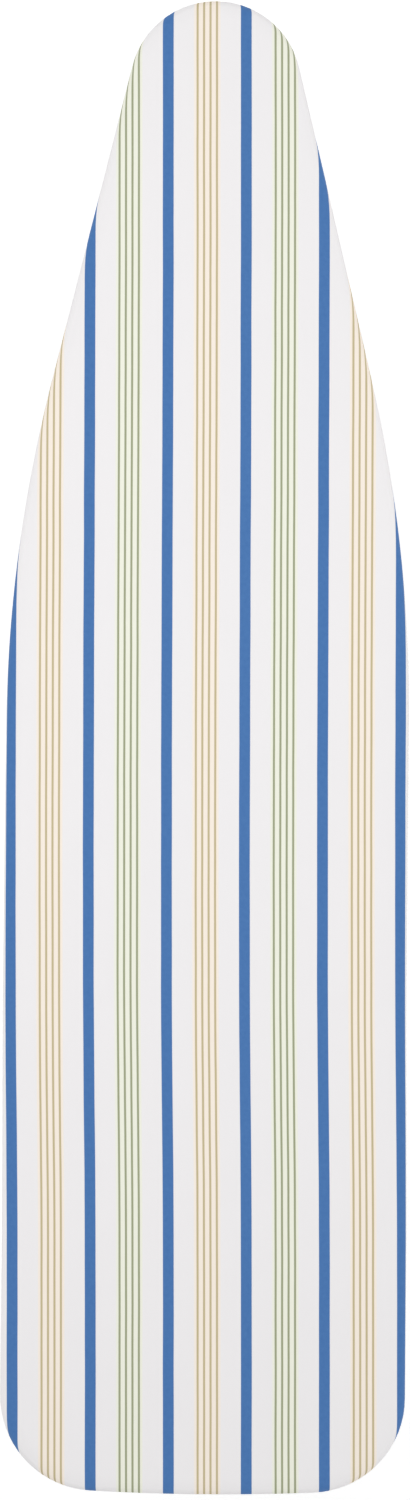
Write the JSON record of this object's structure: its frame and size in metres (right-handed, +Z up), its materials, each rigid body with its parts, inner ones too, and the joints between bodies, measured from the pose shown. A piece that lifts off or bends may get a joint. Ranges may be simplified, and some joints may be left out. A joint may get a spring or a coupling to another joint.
{
  "type": "ironing board",
  "caption": "Folding ironing board: striped cotton cover over a pad and vented steel deck, crossed tube legs with T feet, and a squeeze lever that locks the height.",
  "frame": {"origin": "on the floor, under the middle of the board's bounding box, standing open at full height", "axes": "+X along the board to its rounded nose, +Y to the left, +Z up"},
  "size_m": [1.372, 0.3722, 0.914],
  "materials": {
    "cotton_cover": "woven cotton, printed with blue stripes and groups of thin tan and green stripes",
    "hem_elastic": "white braided elastic",
    "pad_foam": "cream foam and felt pad",
    "deck_paint": "white baked enamel, satin",
    "leg_paint": "silver-grey powder coat, satin",
    "zinc_steel": "bright zinc plate",
    "dark_plastic": "moulded, fine grain",
    "nylon": "natural grey nylon, smooth"
  },
  "bodies": {
    "board": {"cover": "cotton_cover", "cover_elastic": "hem_elastic", "pad": "pad_foam", "deck_panel": "deck_paint", "rim": "deck_paint", "rib_left": "deck_paint", "rib_right": "deck_paint", "rib_front": "deck_paint", "rib_rear": "deck_paint", "hinge_bracket_left": "zinc_steel", "hinge_bracket_right": "zinc_steel", "hinge_rod": "zinc_steel", "hinge_rod_caps": "dark_plastic", "guide_rod": "zinc_steel", "guide_bracket_front": "zinc_steel", "guide_bracket_rear": "zinc_steel", "guide_clips": "zinc_steel", "deck_rivets": "zinc_steel"},
    "outer_leg": {"outer_tube_left": "leg_paint", "outer_tube_right": "leg_paint", "outer_plugs": "dark_plastic", "outer_stretcher": "leg_paint", "outer_foot_bar": "leg_paint", "outer_cap_left": "dark_plastic", "outer_cap_right": "dark_plastic", "hinge_bushes": "nylon", "pivot_bolt": "zinc_steel", "pivot_nut": "zinc_steel", "pivot_washers": "zinc_steel", "pivot_spacers": "nylon"},
    "inner_leg": {"inner_tube_left": "leg_paint", "inner_tube_right": "leg_paint", "inner_plugs": "dark_plastic", "inner_stretcher": "leg_paint", "inner_foot_bar": "leg_paint", "inner_cap_left": "dark_plastic", "inner_cap_right": "dark_plastic", "pivot_sleeve": "nylon"},
    "slide": {"carriage_block": "dark_plastic", "carriage_frame": "zinc_steel", "carriage_screws": "zinc_steel", "carriage_pins": "zinc_steel", "carriage_washers": "nylon", "grip_sleeve": "dark_plastic", "lever_spring": "zinc_steel", "lever_pin": "zinc_steel"},
    "lever": {"lock_lever": "zinc_steel", "lever_sleeve": "dark_plastic"}
  },
  "joints": [
    {"name": "leg_fold", "type": "hinge", "parent": "board", "child": "outer_leg", "pos_m": [-0.38, 0, 0.88], "axis": [0, -1, 0], "range_deg": [0, 53.01]},
    {"name": "leg_crossing", "type": "hinge", "parent": "outer_leg", "child": "inner_leg", "pos_m": [-0.13774, 0, 0.52474], "axis": [0, 1, 0], "range_deg": [0, 106.04]},
    {"name": "slide_pin", "type": "hinge", "parent": "inner_leg", "child": "slide", "pos_m": [0.10452, 0, 0.88], "axis": [0, -1, 0], "range_deg": [0, 53.02]},
    {"name": "lock_release", "type": "hinge", "parent": "slide", "child": "lever", "pos_m": [0.13452, 0.018, 0.88], "axis": [0, 0, 1], "range_deg": [0, 6], "stiffness_Nm_per_rad": 1.5, "springref_deg": -20.05, "deforming": ["lever_spring"]}
  ],
  "couplings": [
    {"joint": "leg_crossing", "follows": "leg_fold", "ratio": 2},
    {"joint": "slide_pin", "follows": "leg_fold", "ratio": 1}
  ]
}
